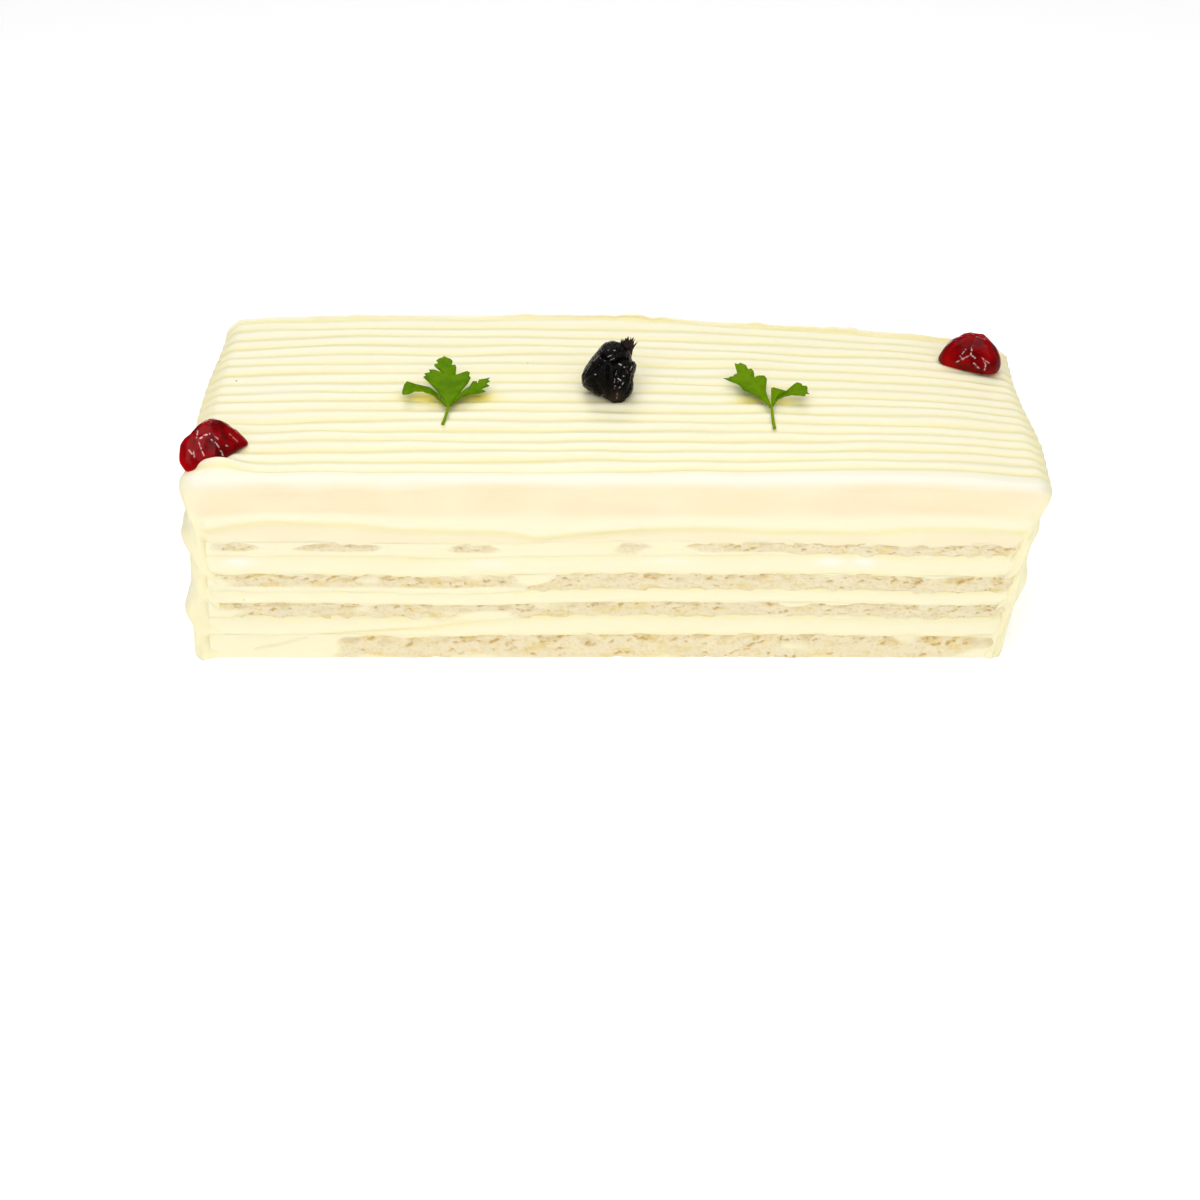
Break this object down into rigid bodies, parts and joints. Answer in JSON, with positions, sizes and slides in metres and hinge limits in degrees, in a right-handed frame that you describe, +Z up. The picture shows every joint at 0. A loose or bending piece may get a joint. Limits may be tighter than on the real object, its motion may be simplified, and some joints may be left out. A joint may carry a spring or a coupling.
{
  "type": "chicken sandwich cake",
  "caption": "Long block of layered bread and cream filling, covered with thick combed cream and topped with cherries, a prune and parsley.",
  "frame": {"origin": "centre of the bottom face, on the surface the cake stands on", "axes": "+X along the length, +Y across the depth towards the back, +Z up"},
  "size_m": [0.2892, 0.1086, 0.0895],
  "materials": {
    "bread": "dry, porous crumb",
    "filling": "soft, slightly moist",
    "cream": "smooth, satin",
    "cherry": "wet syrup gloss",
    "prune": "wrinkled, sticky gloss",
    "parsley": "fresh leaf, faint sheen"
  },
  "bodies": {
    "root": {"bread_1": "bread", "bread_2": "bread", "bread_3": "bread", "bread_4": "bread", "filling_1": "filling", "filling_2": "filling", "filling_3": "filling", "icing": "cream", "cherry_front": "cherry", "cherry_back": "cherry", "prune": "prune", "parsley_left": "parsley", "parsley_right": "parsley"}
  },
  "joints": []
}
